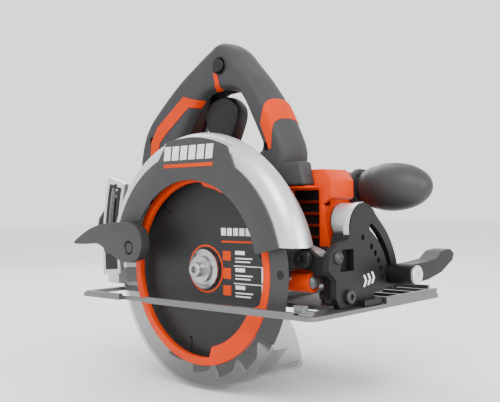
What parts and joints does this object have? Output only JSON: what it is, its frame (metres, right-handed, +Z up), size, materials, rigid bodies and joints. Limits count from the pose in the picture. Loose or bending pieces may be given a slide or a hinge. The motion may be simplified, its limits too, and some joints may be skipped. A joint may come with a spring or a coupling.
{
  "type": "cordless circular saw",
  "caption": "Cordless circular saw: blade in an upper guard and a swinging lower guard, loop handle, round front grip, bevel and depth pivots on a flat shoe.",
  "frame": {"origin": "on the sole of the shoe, level with the blade's arbor and 60 mm to the left of the blade", "axes": "+X forward in the cutting direction, +Y to the saw's left, +Z up from the sole"},
  "size_m": [0.304, 0.1765, 0.2661],
  "materials": {
    "grey_plastic": "satin moulded plastic",
    "dark_plastic": "satin",
    "black_plastic": "satin",
    "orange_plastic": "semi-gloss",
    "silver_cast": "fine blasted",
    "shoe_cast": "brushed",
    "steel": "turned",
    "dark_steel": "black oxide",
    "blade_steel": "ground",
    "smoke_plastic": "translucent smoke",
    "motor_windings": "wound",
    "clear_lens": "clear"
  },
  "bodies": {
    "shoe": {"shoe": "shoe_cast", "bevel_quadrant": "dark_plastic", "bevel_pivot_screw": "dark_steel", "rear_pivot_ear": "dark_steel", "rear_pivot_pin": "steel"},
    "swivel": {"front_swivel": "silver_cast", "depth_bracket": "silver_cast", "depth_pivot_bolt": "dark_steel", "bevel_lock_stud": "steel"},
    "bevel_lock": {"bevel_lever": "black_plastic", "bevel_lock_cap": "steel"},
    "saw": {"gear_case": "silver_cast", "upper_guard": "silver_cast", "guard_band": "grey_plastic", "motor_housing": "orange_plastic", "motor_cap": "grey_plastic", "stator": "dark_steel", "spindle_bearing_front": "steel", "spindle_bearing_rear": "steel", "motor_bearing_front": "steel", "motor_bearing_rear": "steel", "handle_shell_right": "grey_plastic", "handle_shell_left": "grey_plastic", "handle_screw_1": "dark_steel", "handle_screw_2": "dark_steel", "handle_screw_3": "dark_steel", "handle_screw_4": "dark_steel", "power_switch": "black_plastic", "front_pommel": "grey_plastic", "work_light": "orange_plastic", "work_light_lens": "clear_lens", "battery_terminal": "black_plastic", "depth_lock_bolt": "dark_steel", "guard_spring": "steel"},
    "arbor": {"blade": "blade_steel", "spindle": "steel", "output_gear": "steel", "inner_flange": "steel", "outer_flange": "steel", "blade_bolt": "steel"},
    "rotor": {"rotor": "motor_windings", "cooling_fan": "black_plastic"},
    "guard": {"lower_guard": "smoke_plastic", "guard_ring": "orange_plastic", "lift_lever": "grey_plastic", "lift_lever_screw": "dark_steel"},
    "trigger": {"trigger": "black_plastic"},
    "lock_off": {"lock_off_button": "black_plastic"},
    "spindle_lock": {"spindle_lock_button": "black_plastic"},
    "depth_lock": {"depth_lever": "black_plastic"},
    "battery": {"battery_pack": "dark_plastic"},
    "latch": {"battery_latch": "orange_plastic"}
  },
  "joints": [
    {"name": "bevel_tilt", "type": "hinge", "parent": "shoe", "child": "swivel", "pos_m": [0.1, -0.0336, 0.0106], "axis": [1, 0, 0], "range_deg": [0, 45]},
    {"name": "depth_swing", "type": "hinge", "parent": "swivel", "child": "saw", "pos_m": [0.088, -0.04, 0.037], "axis": [0, 1, 0], "range_deg": [0, 14]},
    {"name": "bevel_lock_turn", "type": "hinge", "parent": "swivel", "child": "bevel_lock", "pos_m": [0.12, 0.0205, 0.0228], "axis": [1, 0, 0], "range_deg": [0, 20]},
    {"name": "blade_spin", "type": "hinge", "parent": "saw", "child": "arbor", "pos_m": [0, -0.06, 0.027], "axis": [0, -1, 0], "continuous": true},
    {"name": "rotor_spin", "type": "hinge", "parent": "saw", "child": "rotor", "pos_m": [0.01, 0, 0.0488], "axis": [0, -1, 0], "continuous": true},
    {"name": "guard_swing", "type": "hinge", "parent": "saw", "child": "guard", "pos_m": [0, -0.06, 0.027], "axis": [0, 1, 0], "range_deg": [0, 110], "stiffness_Nm_per_rad": 0.12, "springref_deg": -51.57},
    {"name": "trigger_pull", "type": "hinge", "parent": "saw", "child": "trigger", "pos_m": [-0.012, -0.022, 0.158], "axis": [0, 1, 0], "range_deg": [0, 7], "stiffness_Nm_per_rad": 0.6, "springref_deg": -2.86},
    {"name": "lock_off_push", "type": "slide", "parent": "saw", "child": "lock_off", "axis": [0, 1, 0], "range_m": [-0.003, 0.003], "stiffness_N_per_m": 250},
    {"name": "spindle_lock_push", "type": "slide", "parent": "saw", "child": "spindle_lock", "axis": [1, 0, 0], "range_m": [0, 0.003], "stiffness_N_per_m": 250, "springref_m": -0.001},
    {"name": "depth_lock_turn", "type": "hinge", "parent": "saw", "child": "depth_lock", "pos_m": [-0.11698, -0.052, 0.03986], "axis": [0, 1, 0], "range_deg": [0, 30]},
    {"name": "battery_slide", "type": "slide", "parent": "saw", "child": "battery", "axis": [-1, 0, 0], "range_m": [0, 0.07]},
    {"name": "latch_press", "type": "slide", "parent": "battery", "child": "latch", "axis": [0, 1, 0], "range_m": [0, 0.0012], "stiffness_N_per_m": 400, "springref_m": -0.0005}
  ],
  "couplings": [
    {"joint": "rotor_spin", "follows": "blade_spin", "ratio": -2.5556}
  ]
}
